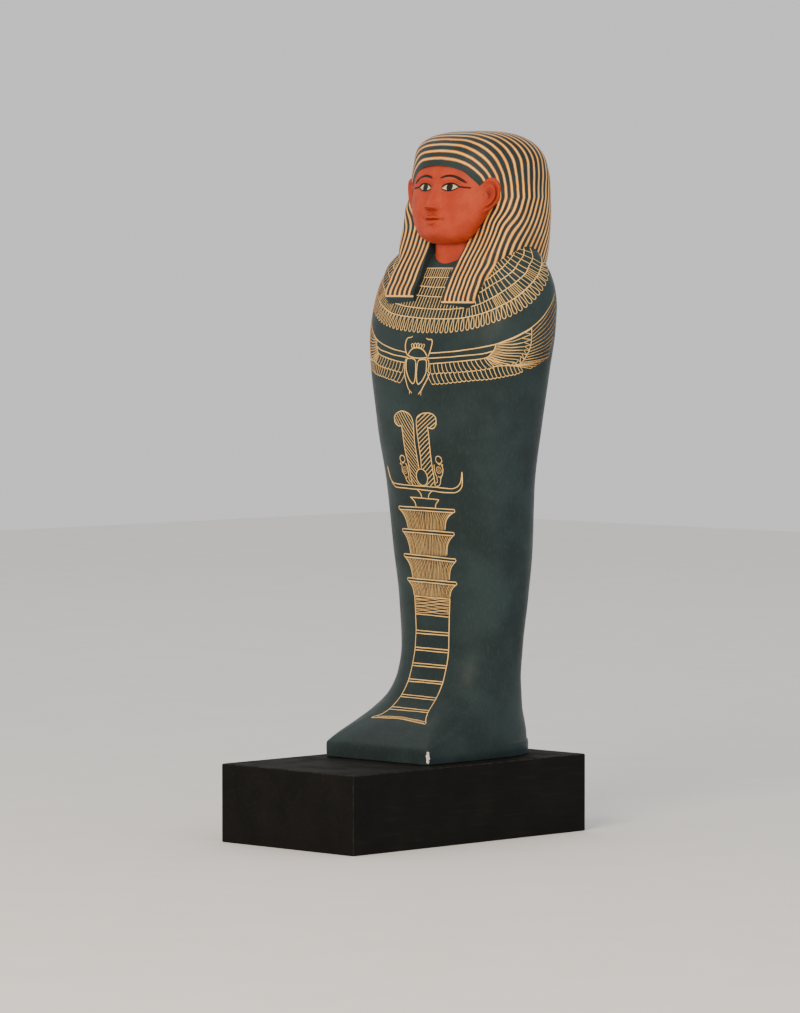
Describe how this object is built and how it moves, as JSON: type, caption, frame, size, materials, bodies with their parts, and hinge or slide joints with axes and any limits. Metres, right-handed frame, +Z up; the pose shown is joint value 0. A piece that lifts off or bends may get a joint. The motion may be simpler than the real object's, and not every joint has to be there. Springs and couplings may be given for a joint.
{
  "type": "ptah-sokar-osiris figure",
  "caption": "Painted wooden mummiform figure in a striped wig and broad collar, standing on a long black block plinth; a votive or funerary statue for display.",
  "frame": {"origin": "middle of the plinth's underside", "axes": "+Z up; -Y the way the figure faces, along the plinth's length; +X the figure's left side"},
  "size_m": [0.1432, 0.213, 0.4541],
  "materials": {
    "painted_figure": "satin paint, blue green with cream lines and a red face",
    "painted_plinth": "matt black paint, lightly worn"
  },
  "bodies": {
    "root": {"figure": "painted_figure", "plinth": "painted_plinth"}
  },
  "joints": []
}
